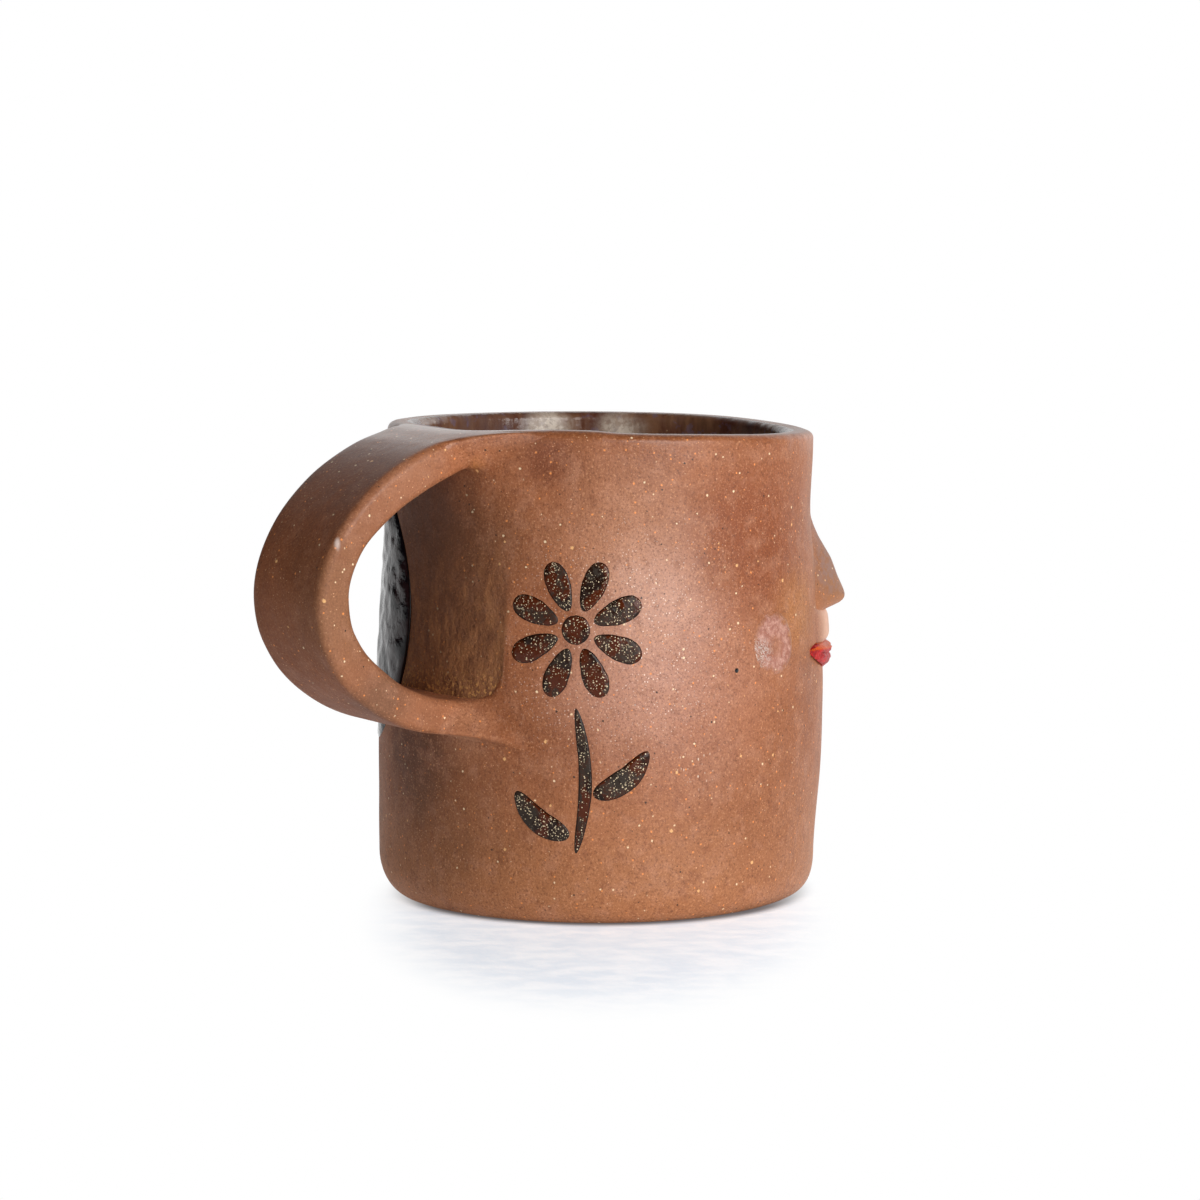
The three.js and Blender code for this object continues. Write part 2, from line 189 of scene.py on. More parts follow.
def pressed(point):
    """Moves a point of the upright turned cup to where the hands left it."""
    straight = hypot(point.x, point.y)
    if straight < MM / 100:
        return point
    angle = atan2(point.y, point.x)
    ease = facing(angle, JAW_TURN)
    inset = BELLY - straight
    height = point.z
    if point.z < FOOT_HEIGHT and inset < FOOT_DEPTH * 1.01:
        inset *= 1 + 0.05 * ease
        height *= 1 - 0.25 * ease * (1 - point.z / FOOT_HEIGHT)
    dip = max(0, 1 - (RIM - height) / RIM_REACH)
    height += (rim_height(angle) - RIM) * dip * dip
    shift = wall_radius(angle, height) - BELLY
    r = BELLY - inset + shift * min(1, straight / (BELLY - WALL))
    if inset < WALL / 2 and height > FOOT_HEIGHT:
        r -= SCRAPE_DEPTH * in_loop(angle, height)
    return Vector((r * cos(angle), r * sin(angle), height))


def shaped(piece, move):
    """Moves every point of a piece and smooths its faces."""
    for vertex in piece.data.vertices:
        vertex.co = move(vertex.co)
    for face in piece.data.polygons:
        face.use_smooth = True
    piece.data.update()


inner = BELLY - WALL
foot = [
    (BELLY - FOOT_DEPTH * (1 - sin(a)), FOOT_HEIGHT * (1 - cos(a)))
    for a in ladder(0, pi / 2, FOOT_STEPS)
]
outside = [(BELLY, z) for z in ladder(FOOT_HEIGHT, RIM - RIM_ROUND, OUTSIDE_STEPS)]
over_rim = quarter((BELLY - RIM_ROUND, RIM - RIM_ROUND), RIM_ROUND, 0, ROUND_STEPS)
over_rim += quarter((inner + RIM_ROUND, RIM - RIM_ROUND), RIM_ROUND, pi / 2, ROUND_STEPS)
inside = [(inner, z) for z in ladder(RIM - RIM_ROUND, FLOOR + SEAM_COIL, INSIDE_STEPS)]
corner = [
    (inner - SEAM_COIL * (1 - cos(a)), FLOOR + SEAM_COIL * (1 - sin(a)))
    for a in ladder(0, pi / 2, ROUND_STEPS)
]
cup_profile = [(0, 0)] + foot + outside[1:] + over_rim[1:] + inside[1:] + corner[1:] + [(0, FLOOR)]
cup = turned("clay_cup", cup_profile, CUP_STEPS)
shaped(cup, pressed)


def srgb(red, green, blue):
    """The linear colour of an 8-bit one."""
    channels = [c / 255 for c in (red, green, blue)]
    return [c / 12.92 if c < 0.04045 else ((c + 0.055) / 1.055) ** 2.4 for c in channels] + [1]


class Tone:
    """A value or colour in a finish's node tree. Sums on it add Math nodes."""

    def __init__(self, tree, socket=None):
        self.tree = tree
        self.socket = socket

    def add(self, kind, settings=(), sockets=(), out=0):
        """Adds a node: its settings come first, then values or links for its sockets."""
        node = self.tree.nodes.new(kind)
        for key, value in dict(settings).items():
            setattr(node, key, value)
        for key, value in dict(sockets).items():
            if isinstance(value, Tone):
                self.tree.links.new(value.socket, node.inputs[key])
            else:
                node.inputs[key].default_value = value
        return Tone(self.tree, node.outputs[out] if node.outputs else None)

    def other(self, name):
        """Another output of the same node."""
        return Tone(self.tree, self.socket.node.outputs[name])

    def math(self, operation, *values):
        return self.add("ShaderNodeMath", {"operation": operation}, enumerate(values))

    def __add__(self, other):
        return self.math("ADD", self, other)

    def __sub__(self, other):
        return self.math("SUBTRACT", self, other)

    def __rsub__(self, other):
        return self.math("SUBTRACT", other, self)

    def __mul__(self, other):
        return self.math("MULTIPLY", self, other)

    def __truediv__(self, other):
        return self.math("DIVIDE", self, other)

    def __pow__(self, other):
        return self.math("POWER", self, other)

    __radd__ = __add__
    __rmul__ = __mul__

    def __abs__(self):
        return self.math("ABSOLUTE", self)

    def at_least(self, other):
        return self.math("MAXIMUM", self, other)

    def rise(self, low, high):
        """0 below low, 1 above high, and a smooth rise between them."""
        sockets = {0: self, 1: low, 2: high}
        return self.add("ShaderNodeMapRange", {"interpolation_type": "SMOOTHSTEP"}, sockets)

    def shade(self, low, high):
        """A colour that goes from low to high as this goes from 0 to 1."""
        return self.add("ShaderNodeMix", {"data_type": "RGBA"}, {0: self, 6: low, 7: high}, 2)

    def under(self, cover, share):
        """This colour with cover laid over it by share."""
        return self.add("ShaderNodeMix", {"data_type": "RGBA"}, {0: share, 6: self, 7: cover}, 2)

    def stretched(self, x, y, z):
        sockets = {0: self, 1: (x, y, z)}
        return self.add("ShaderNodeVectorMath", {"operation": "MULTIPLY"}, sockets)

    def distance(self, point):
        return self.add("ShaderNodeVectorMath", {"operation": "DISTANCE"}, {0: self, 1: point}, "Value")

    def length(self):
        return self.add("ShaderNodeVectorMath", {"operation": "LENGTH"}, {0: self}, "Value")

    def along(self, direction):
        """How far this reaches in a direction."""
        sockets = {0: self, 1: direction}
        return self.add("ShaderNodeVectorMath", {"operation": "DOT_PRODUCT"}, sockets, "Value")

    def cloud(self, size, detail=3, rough=0.55):
        """Cloudy noise, 0 to 1, of a size in metres, at this place."""
        sockets = {"Vector": self, "Scale": 1 / size, "Detail": detail, "Roughness": rough}
        return self.add("ShaderNodeTexNoise", {}, sockets)

    def specks(self, pitch, share, radius):
        """Grains: a share of the cells of a pitch each hold one, up to radius, all in metres."""
        wobble = self.add("ShaderNodeTexNoise", {}, {"Vector": self, "Scale": 1.6 / radius}, "Color")
        sockets = {0: wobble, 1: (radius,) * 3, 2: self}
        bent_place = self.add("ShaderNodeVectorMath", {"operation": "MULTIPLY_ADD"}, sockets)
        cells = self.add("ShaderNodeTexVoronoi", {}, {"Vector": bent_place, "Scale": 1 / pitch})
        lot = self.add("ShaderNodeSeparateColor", {}, {0: cells.other("Color")})
        size = (share - lot).at_least(0) ** 0.4 * (radius / pitch / share ** 0.4)
        return (size - cells).rise(0.0, 0.35 * radius / pitch)


def new_finish(name):
    material = bpy.data.materials.new(name)
    material.use_nodes = True
    material.node_tree.nodes.clear()
    start = Tone(material.node_tree)
    return material, start, start.add("ShaderNodeTexCoord", {}, {}, "Object")


def fire(start, height, sockets):
    """Ends a finish in one Principled shader, over a relief whose height is in metres."""
    bump = start.add("ShaderNodeBump", {}, {"Strength": 1, "Distance": 1, "Height": height})
    shader = start.add("ShaderNodeBsdfPrincipled", {}, sockets | {"Normal": bump})
    start.add("ShaderNodeOutputMaterial", {}, {"Surface": shader})


def patch(place, middle, size, ragged=1.3):
    """1 near a point, fading to 0 at a ragged edge, its size in metres."""
    away = place.distance(middle) + (place.cloud(10 * MM, 5) - 0.5) * (size * ragged)
    return away.rise(size * 1.25, size * 0.2)


# Patches laid on the clay's colour: degrees round, mm off the wall, mm up, size in mm, colour and cover.
# Most are smudges that the kiln left; the rows marked below are painted light and shade.
KILN_SMUDGES_AND_PAINTED_LIGHT = (
    # Painted shade under the strap's upper joint.
    (-166, 0, 69, 15, (116, 72, 42), 0.6),
    # Painted shade in the dent beside the strap's upper joint.
    (-146, 0, 85, 6, (112, 54, 30), 0.65),
    # A painted highlight, orange, on the knob at the strap's upper corner.
    (-165, 0, 85, 2.2, (220, 142, 76), 0.6),
    # A pale painted sheen high on the near side.
    (-126, 0, 72, 15, (182, 126, 94), 0.65),
    (-86, 0, 70, 18, (138, 70, 34), 0.85),
    (-70, 0, 56, 9, (176, 112, 56), 0.7),
    (-76, 0, 36, 12, (146, 82, 42), 0.6),
    # A pale pink painted sheen down the middle of the near side, in this row and the next two.
    (-112, 0, 44, 22, (178, 122, 98), 0.55),
    (-119, 0, 60, 13, (212, 164, 142), 0.5),
    (-126, 0, 46, 15, (206, 154, 132), 0.45),
    (-80, 0, 18, 22, (146, 88, 52), 0.5),
    # Paler smeared slip at the strap's lower joint, with a painted sheen on it.
    (-168, 0, 35, 7, (190, 140, 108), 0.5),
    # Painted shade low on the back-left side, away from the lamp, in this row and the next.
    (-186, 0, 28, 13, (82, 46, 28), 0.85),
    (-175, 0, 20, 18, (118, 72, 40), 0.5),
    (-170.3, 19.6, 43, 7, (104, 68, 46), 0.8),
    (-171.6, 28.0, 60, 14, (136, 92, 60), 0.7),
)


def clay_colour(place):
    """Fired red stoneware: brown clouds, kiln smudges, painted light and shade, a sandy foot and a fine
    grain.
    """
    colour = place.cloud(26 * MM, 4).rise(0.36, 0.64).shade(srgb(145, 85, 50), srgb(165, 101, 64))
    up = place.add("ShaderNodeSeparateXYZ", {}, {0: place}).other("Z")
    sandy = (up + (place.cloud(12 * MM, 4) - 0.5) * (14 * MM)).rise(32 * MM, 4 * MM)
    colour = colour.under(srgb(184, 122, 78), sandy * 0.6)
    for angle, lift, height, size, tint, cover in KILN_SMUDGES_AND_PAINTED_LIGHT:
        middle = on_wall(radians(angle), height * MM, lift * MM)
        colour = colour.under(srgb(*tint), patch(place, middle, size * MM, 0.8) * cover)
    pale_veil = place.cloud(4 * MM, 5, 0.65).rise(0.46, 0.7)
    colour = colour.under(srgb(192, 136, 106), pale_veil * 0.36)
    dark_veil = place.cloud(2.4 * MM, 4, 0.65).rise(0.46, 0.32)
    colour = colour.under(srgb(124, 66, 36), dark_veil * 0.38)
    grain = place.cloud(0.42 * MM, 3, 0.8)
    colour = colour.under(srgb(92, 50, 32), grain.rise(0.48, 0.34) * 0.62)
    return colour.under(srgb(228, 166, 122), grain.rise(0.54, 0.7) * 0.45)


def with_grog(place, colour):
    """Grains of fired clay in it: fine sandy ones in crumbs, orange, cream and large ones, and a few dark."""
    crumbs = place.cloud(6 * MM, 4, 0.6).rise(0.46, 0.64)
    fine = place.specks(0.75 * MM, 0.8, 0.16 * MM)
    colour = colour.under(srgb(232, 176, 134), fine * (0.3 + 0.5 * crumbs))
    for mirror, pitch, share, radius, tint in (
        ((1, -1, 1), 1.5, 0.8, 0.26, (238, 148, 80)),
        ((-1, 1, 1), 1.9, 0.5, 0.28, (250, 222, 180)),
        ((1, 1, -1), 4.4, 0.7, 0.42, (240, 184, 122)),
        ((-1, -1, 1), 2.0, 0.55, 0.25, (38, 26, 22)),
    ):
        grains = place.stretched(*mirror).specks(pitch * MM, share, radius * MM)
        colour = colour.under(srgb(*tint), grains * 0.9)
    return colour


def face_tints(place, colour):
    """Warm clay round the mouth, darker clay on the nose's side and a mottled grey painted sheen over it."""
    near_mouth = place.distance(on_wall(FACE, 49 * MM, 0)).rise(17 * MM, 6 * MM)
    warm = near_mouth * (0.3 + 0.6 * place.cloud(4 * MM, 3).rise(0.35, 0.65))
    colour = colour.under(srgb(196, 124, 74), warm)
    flank = patch(place, on_wall(radians(-46), 60 * MM, 3 * MM), 9 * MM, 0.6)
    colour = colour.under(srgb(146, 104, 74), flank * 0.6)
    # A painted sheen, grey and mottled, on the nose's side.
    painted_nose_sheen = patch(place, on_wall(radians(-47), 62 * MM, 3 * MM), 7 * MM, 0.8)
    painted_nose_sheen = painted_nose_sheen * place.cloud(1.4 * MM, 4, 0.7).rise(0.4, 0.58)
    return colour.under(srgb(146, 112, 100), painted_nose_sheen * 0.85)


def scuffs_and_painted_glints(place, colour, polish_and_painted_glints):
    """Pale scuffs low on the near side and beside the cheek, and fine painted glints over the near side's
    middle.
    """
    scuffed = patch(place, on_wall(radians(-107.6), 29.5 * MM, 0), 5 * MM, 0.8)
    scuffed = scuffed + patch(place, on_wall(radians(-92), 49.4 * MM, 0), 2.2 * MM, 0.5)
    scuffs = place.stretched(1, 1, 0.45).specks(0.55 * MM, 0.9, 0.15 * MM) * scuffed
    colour = colour.under(srgb(246, 228, 206), scuffs * 0.8)
    # Painted glints: fine pale specks of painted highlight.
    glints = place.specks(0.5 * MM, 0.9, 0.15 * MM) * polish_and_painted_glints
    glints = glints * (0.3 + place.cloud(2.5 * MM, 3).rise(0.45, 0.6) * 0.7)
    return colour.under(srgb(252, 232, 216), glints)


def scraped_in_loop(x, y, z):
    """1 on the scraped clay inside the handle's loop, with a hard edge below and a soft one above."""
    sideways = abs(y - LOOP_MIDDLE) / LOOP_HALF
    down = ((LOOP_TOP - z) / LOOP_DROP).at_least(0)
    box = sideways ** LOOP_SQUARENESS + down ** LOOP_SQUARENESS
    on_the_wall = x.rise(-34 * MM, -37 * MM) * x.rise(-43.4 * MM, -43.1 * MM)
    soft = z.rise(46 * MM, 62 * MM) * 0.9
    return box.rise(1.15 + 1.2 * soft, 0.85 - 0.8 * soft) * on_the_wall * z.rise(78 * MM, 54 * MM)


def olive_clay(place, colour, scraped, z):
    """The scraped clay fired olive, with painted shade darkening it towards its top, a painted shadow under
    the strap there, and sandy crusts at its foot.
    """
    # Paler low down, so the olive darkens towards the top: painted shade under the strap.
    streaks_and_painted_shade = place.stretched(1, 1, 0.35).cloud(1.8 * MM, 4, 0.65) + z.rise(62 * MM, 42 * MM) * 0.1
    olive = streaks_and_painted_shade.rise(0.42, 0.68).shade(srgb(92, 60, 38), srgb(144, 98, 60))
    colour = colour.under(olive, scraped * 0.65)
    # A painted shadow under the strap's top.
    painted_shadow = patch(place, on_wall(radians(-184), 74 * MM, 0), 17 * MM, 0.4)
    colour = colour.under(srgb(76, 48, 34), painted_shadow * 0.65)
    crust = place.cloud(0.7 * MM, 3, 0.7).rise(0.5, 0.62) * scraped * z.rise(48 * MM, 42 * MM)
    return colour.under(srgb(218, 158, 92), crust * 0.7)


def clay_finish(name, shine, polish, is_cup=False):
    """Bare satin clay, glossier on rim and strap top. The cup's has scraped clay and a black bead."""
    material, start, place = new_finish(name)
    x = place.add("ShaderNodeSeparateXYZ", {}, {0: place})
    y = x.other("Y")
    z = x.other("Z")
    wiped = z.rise(83 * MM, 88 * MM)
    crest = z.rise(86.5 * MM, 89 * MM)
    dry_side = x.rise(-18 * MM, -38 * MM) * (1 - wiped)
    strap = x.rise(-44 * MM, -52 * MM)
    strap_top = strap * z.rise(66 * MM, 82 * MM) * 0.5
    # The near side's middle is smoother, and carries painted glints.
    polish_and_painted_glints = patch(place, on_wall(radians(-126), 52 * MM, 0), 26 * MM, 0.6)
    # The strap's near edge has a painted highlight at one place, where it is also glossier. The pattern is
    # squeezed upright to make a streak.
    streak = 0.3
    glint_place = Vector((-71.4 * MM, -9.9 * MM, 71.4 * MM * streak))
    painted_glint_and_polish = patch(place.stretched(1, 1, streak), glint_place, 0.6 * MM, 0.3)

    colour = face_tints(place, clay_colour(place))
    colour = colour.under(srgb(114, 62, 38), strap * y.rise(-9.8 * MM, -8.2 * MM) * 0.4)
    colour = colour.under(srgb(150, 106, 80), strap * y.rise(-8.4 * MM, -10 * MM) * 0.3)
    colour = with_grog(place, colour).under(srgb(236, 216, 206), painted_glint_and_polish * 0.7)
    colour = scuffs_and_painted_glints(place, colour, polish_and_painted_glints)

    height = place.cloud(0.5 * MM, 3, 0.75) * (0.09 * MM)
    height = height + place.stretched(1, 1, 0.25).cloud(2.2 * MM, 4, 0.65) * (0.12 * MM)
    height = height + place.specks(3.0 * MM, 0.5, 0.28 * MM) * (-0.06 * MM)
    height = height + place.cloud(5 * MM, 2) * (0.3 * MM) + place.cloud(13 * MM, 2) * (0.8 * MM)
    roughness = 0.42 + place.cloud(9 * MM, 4) * 0.14 + dry_side * 0.15 - wiped * 0.16
    roughness = roughness - polish_and_painted_glints * 0.1 - painted_glint_and_polish * 0.25

    if is_cup:
        scraped = scraped_in_loop(x, y, z)
        colour = olive_clay(place, colour, scraped, z)
        height = height + scraped * place.cloud(1.1 * MM, 3, 0.7) * (0.4 * MM)
        roughness = roughness + scraped * 0.2
        from_bead = place.distance(on_wall(radians(-95.9), 46.2 * MM, 0))
        colour = colour.under(srgb(22, 16, 14), from_bead.rise(0.52 * MM, 0.36 * MM))
        height = height + from_bead.rise(0.6 * MM, 0.0) * (0.35 * MM)
        roughness = roughness * (1 - 0.85 * from_bead.rise(0.6 * MM, 0.5 * MM))
    fire(start, height, {
        "Base Color": colour,
        "Roughness": roughness,
        "Specular IOR Level": shine,
        "Coat Weight": crest.at_least(strap_top) * polish,
        "Coat Roughness": 0.28,
    })
    return material


cup_clay = clay_finish("clay_body_cup", 0.36, 0.12, is_cup=True)
clay = clay_finish("clay_body", 0.28, 0.7)
cup.data.materials.append(cup_clay)
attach(cup, "root")
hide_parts("body_wall", "floor_disc", "seam_coil")

# Liner: the glossy brown glaze poured inside, over wall and floor up to the rim's inner edge. It is a thin
# shell turned the same way, its back sunk in the clay, and it thins out to nothing at its upper edge.
LINER = 0.35 * MM
LINER_BACK = 0.25 * MM
LINER_CLIMB = radians(82)
LINER_STEPS = 240
CREST_RADIUS = inner + RIM_ROUND
CREST_HEIGHT = RIM - RIM_ROUND
skin = [(0, FLOOR + LINER)]
skin += [
    (inner - LINER - SEAM_COIL * (1 - cos(a)), FLOOR + LINER + SEAM_COIL * (1 - sin(a)))
    for a in ladder(pi / 2, 0, 8)
]
skin += [(inner - LINER, z) for z in ladder(FLOOR + SEAM_COIL + LINER, CREST_HEIGHT, 34)[1:]]
for t in ladder(0, 1, 8)[1:]:
    coat = RIM_ROUND + LINER * (1 - t ** 3) - 0.05 * MM * t
    climb = t * LINER_CLIMB
    skin.append((CREST_RADIUS - coat * cos(climb), CREST_HEIGHT + coat * sin(climb)))
skin += [(CREST_RADIUS - 0.7 * RIM_ROUND, CREST_HEIGHT + 0.1 * MM)]
skin += [(inner + LINER_BACK, z) for z in ladder(CREST_HEIGHT - MM, FLOOR + SEAM_COIL, 12)]
skin += [
    (inner + LINER_BACK - SEAM_COIL * (1 - cos(a)), FLOOR - LINER_BACK + SEAM_COIL * (1 - sin(a)))
    for a in ladder(0, pi / 2, 6)[1:]
] + [(0, FLOOR - LINER_BACK)]
liner = turned("inner_glaze_coat", skin, LINER_STEPS)
shaped(liner, pressed)
liner_glaze, start, place = new_finish("liner_glaze")
flow = place.stretched(1, 1, 0.35)
colour = flow.cloud(7 * MM, 5, 0.65).rise(0.35, 0.62).shade(srgb(96, 54, 40), srgb(132, 92, 66))
colour = colour.under(srgb(88, 72, 80), flow.cloud(16 * MM, 4).rise(0.52, 0.68) * 0.8)
colour = colour.under(srgb(116, 102, 124), place.cloud(2.5 * MM, 4).rise(0.56, 0.68) * 0.45)
broken = 0.55 + 0.45 * place.cloud(1.3 * MM, 4, 0.7).rise(0.4, 0.6)
for angle, size, cover in ((66, 5.5, 1.0), (42, 5.5, 0.9), (205, 7, 0.6), (300, 6, 0.7)):
    milky = patch(place, on_wall(radians(angle), 86 * MM, -WALL), size * MM) * broken
    colour = colour.under(srgb(230, 214, 196), milky * cover)
colour = colour.under(srgb(196, 160, 122), place.specks(1.6 * MM, 0.4, 0.25 * MM) * 0.5)
fire(start, flow.cloud(6 * MM, 3) * (0.8 * MM) + place.cloud(0.9 * MM) * (0.05 * MM), {
    "Base Color": colour,
    "Roughness": 0.12 + place.cloud(3 * MM) * 0.2,
    "Specular IOR Level": 0.38,
})
liner.data.materials.append(liner_glaze)
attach(liner, "root")
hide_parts("inner_glaze")

# Handle: a flat pulled strap of the same clay, bent to an ear and luted to the wall over scored slip. It is
# drawn out straight, then bent along its line. Near the wall its edges are smeared round the cup by thumb,
# far on the near side at the outside, a little in the loop, and the slip beds are lost in those smears.
HALF_STRAP = 10.5 * MM
STRAP_CORNER = 1.7 * MM
STRAP_TWIST = 0.05
FREE_STEPS = 120
SMEAR_REACH = 8 * MM
SMEAR_STEPS = 26
NEAR_SMEAR = 17 * MM
UPPER_LOOP_SMEAR = 4 * MM
LOWER_LOOP_SMEAR = 7 * MM
FAR_SMEAR = 2.5 * MM
FAR_SMEAR_GAIN = 1.0 * MM
BURIED_SMEAR = 2 * MM
UPPER_SMEAR_DROP = 2.0 * MM
LOWER_SMEAR_DROP = 4.0 * MM
FILLET_REACH = 3.5 * MM
SHELF_REACH = 7 * MM
SHELF_PROUD = 0.04 * MM
SHELF_SLOPE = 0.12
# How deep in the wall the strap's ends are cut, in mm.
ROOT_LIFTS = (0.08, 0.25, 0.6, 1.2, 2.2, 3.6)
# The strap's line from the rim round to the lower joint: mm out from the axis, mm up, and half its thickness.
STRAP_LINE = (
    (37.6, 87.0, 3.0), (41.2, 87.0, 3.1), (44.8, 86.0, 3.3), (50.9, 83.9, 3.6), (57.8, 80.5, 3.6),
    (62.7, 77.1, 3.5), (67.0, 73.1, 3.3), (69.9, 68.8, 3.3), (71.6, 64.5, 3.4), (72.0, 60.4, 3.6),
    (71.3, 55.9, 3.65), (69.6, 52.3, 3.7), (67.0, 48.8, 3.75), (63.1, 45.4, 3.75), (57.8, 42.0, 3.55),
    (51.2, 39.5, 3.4), (44.4, 38.3, 3.1), (41.0, 38.1, 2.9), (37.6, 38.1, 2.8),
)


def along(points, share):
    """A smooth line through points, from share 0 to 1."""
    spot = share * (len(points) - 1)
    i = min(int(spot), len(points) - 2)
    t = spot - i
    p0, p1, p2, p3 = (points[max(0, min(len(points) - 1, k))] for k in (i - 1, i, i + 1, i + 2))
    return [
        0.5 * (2 * b + (c - a) * t + (2 * a - 5 * b + 4 * c - d) * t * t + (3 * b - a - 3 * c + d) * t ** 3)
        for a, b, c, d in zip(p0, p1, p2, p3)
    ]


# The strap's section: across in metres, and through its thickness from -1 in the loop to 1 outside.
section = []
for turn, side, face in ((0, 1, 1), (1, -1, 1), (2, -1, -1), (3, 1, -1)):
    flat = side * (HALF_STRAP - STRAP_CORNER)
    for a in ladder(turn * pi / 2, (turn + 1) * pi / 2, 6):
        section.append((flat + STRAP_CORNER * cos(a), face * 0.5 + 0.5 * sin(a)))
    if turn % 2 == 0:
        section += [(across, float(face)) for across in ladder(flat, -flat, 14)[1:-1]]
    else:
        section += [(side * HALF_STRAP, through) for through in ladder(face * 0.5, -face * 0.5, 5)[1:-1]]

bpy.ops.object.select_all(action="DESELECT")
bpy.ops.mesh.primitive_circle_add(vertices=len(section), radius=HALF_STRAP, fill_type="NGON")
handle = bpy.context.active_object
handle.name = "handle"
for vertex, (across, through) in zip(handle.data.vertices, section):
    vertex.co = (across, through * MM, 0)
bpy.ops.object.mode_set(mode="EDIT")
bpy.ops.mesh.select_all(action="SELECT")
stations = 2 * (len(ROOT_LIFTS) + SMEAR_STEPS) + FREE_STEPS
for step in range(stations):
    bpy.ops.mesh.extrude_region_move(TRANSFORM_OT_translate={"value": (0, 0, MM)})
bpy.ops.object.mode_set(mode="OBJECT")


def on_strap(share, across, through):
    """Turn from -X, height and lift off the wall of a point on the bent strap."""
    u, z, half = along(STRAP_LINE, share)
    u1, z1, _ = along(STRAP_LINE, min(1, share + 0.002))
    u0, z0, _ = along(STRAP_LINE, max(0, share - 0.002))
    length = hypot(u1 - u0, z1 - z0)
    u -= (z1 - z0) / length * half * through
    z += (u1 - u0) / length * half * through + STRAP_TWIST * across / MM
    turn = atan2(across, u * MM)
    return turn, z * MM, hypot(u * MM, across) - wall_radius(pi - turn, z * MM)


def share_at(lift, across, through, upper):
    """Where along the strap one of its lines stands a given lift off the wall, by halving."""
    near_end, free = (0.0, 0.22) if upper else (1.0, 0.78)
    for _ in range(16):
        middle = (near_end + free) / 2
        if on_strap(middle, across, through)[2] < lift:
            near_end = middle
        else:
            free = middle
    return (near_end + free) / 2


def smeared(turn, height, lift, across, through, upper):
    """Carries a point round the wall where thumbs smeared the strap's ends onto it."""
    outside = clamped(0.5 + 0.5 * through)
    near = clamped(1 - lift / (SMEAR_REACH * (0.35 + 0.65 * outside)))
    pull = (1 - sqrt(1 - near * near)) ** (1 - 0.3 * outside)
    share = min(1, abs(across) / HALF_STRAP)
    if across < 0:
        in_the_loop = UPPER_LOOP_SMEAR if upper else LOWER_LOOP_SMEAR
        reach = in_the_loop * (1 - outside) + NEAR_SMEAR * outside ** 1.5
    else:
        reach = FAR_SMEAR + FAR_SMEAR_GAIN * outside
    carried = (reach * pull + min(BURIED_SMEAR, max(0, -lift) * 6)) * share ** 2
    turn += carried / WALL_ARC * (-1 if across < 0 else 1)
    spread = (carried / reach) ** 2 * (1 if across < 0 else 0.3)
    close = clamped(1 - lift / FILLET_REACH)
    fillet = (1 - sqrt(1 - close * close)) * (0.4 + 0.9 * outside) * MM
    if upper:
        height -= (spread * UPPER_SMEAR_DROP + fillet) * (1 - outside)
    else:
        height += (spread ** 4 * LOWER_SMEAR_DROP + fillet) * (1 - outside)
        height -= (spread * LOWER_SMEAR_DROP + fillet) * outside
    return turn, height, spread


def shelf_height(angle, lift, spread):
    """The strap's top where it runs flush over the rim's round."""
    crest = rim_height(angle) + SHELF_PROUD
    round_over = max(-RIM_ROUND, min(0, lift))
    drop = RIM_ROUND - sqrt(max(0, RIM_ROUND ** 2 - (round_over + RIM_ROUND) ** 2))
    return crest - drop * spread ** 2 - max(0, lift) * SHELF_SLOPE - max(0, -lift - 2.2 * MM)


def line_shares(across, through):
    """Where one line of the strap is cut: closely at its ends on the wall, evenly between."""
    ends = []
    for upper in (True, False):
        lifts = [-lift * MM for lift in reversed(ROOT_LIFTS)]
        lifts += [SMEAR_REACH * (1 - cos(a)) for a in ladder(0, pi / 2, SMEAR_STEPS)]
        ends.append([share_at(lift, across, through, upper) for lift in lifts])
    return ends[0] + ladder(ends[0][-1], ends[1][-1], FREE_STEPS)[1:-1] + ends[1][::-1]


def bent(share, across, through, upper):
    """Bends a point of the straight strap along its line and sets its ends on the wall."""
    turn, z, lift = on_strap(share, across, through)
    turn, z, spread = smeared(turn, z, lift, across, through, upper)
    angle = pi - turn
    if upper and lift < SHELF_REACH:
        blend = clamped((SHELF_REACH - lift) / SHELF_REACH) ** 2 * clamped(through + 0.2)
        z += (shelf_height(angle, lift, spread) - z) * blend
    return on_wall(angle, z, lift)


shares = {}
for vertex in handle.data.vertices:
    across = vertex.co.x
    through = vertex.co.y / MM
    step = round(vertex.co.z / MM)
    if (across, through) not in shares:
        shares[across, through] = line_shares(across, through)
    vertex.co = bent(shares[across, through][step], across, through, step < stations / 2)
for face in handle.data.polygons:
    face.use_smooth = True
bpy.ops.object.mode_set(mode="EDIT")
bpy.ops.mesh.select_all(action="SELECT")
bpy.ops.mesh.normals_make_consistent(inside=False)
bpy.ops.object.mode_set(mode="OBJECT")
handle.data.materials.append(clay)
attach(handle, "root")
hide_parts("handle_strap", "upper_slip_bed", "lower_slip_bed")

# Nose: a wedge of clay pressed on and smoothed up into the brow, with a narrow ridge, flat sides and a level
# underside. It is a sheet of clay laid on the wall, drawn out to its relief and sunk a little all round.
NOSE_LOW = 52.6 * MM
NOSE_HIGH = 76 * MM
NOSE_SHEET_HALF = 11 * MM
NOSE_ROOT_HALF = 2.6 * MM
NOSE_WIDENING = 6.4 * MM
NOSE_WIDENS_BELOW = 74.5 * MM
NOSE_WIDENS_OVER = 17 * MM
RIDGE_ROUND = 0.012
FLANK_EASE = 0.1
EDGE_SUNK = 0.04 * MM
SHEET_BACK = -0.6 * MM
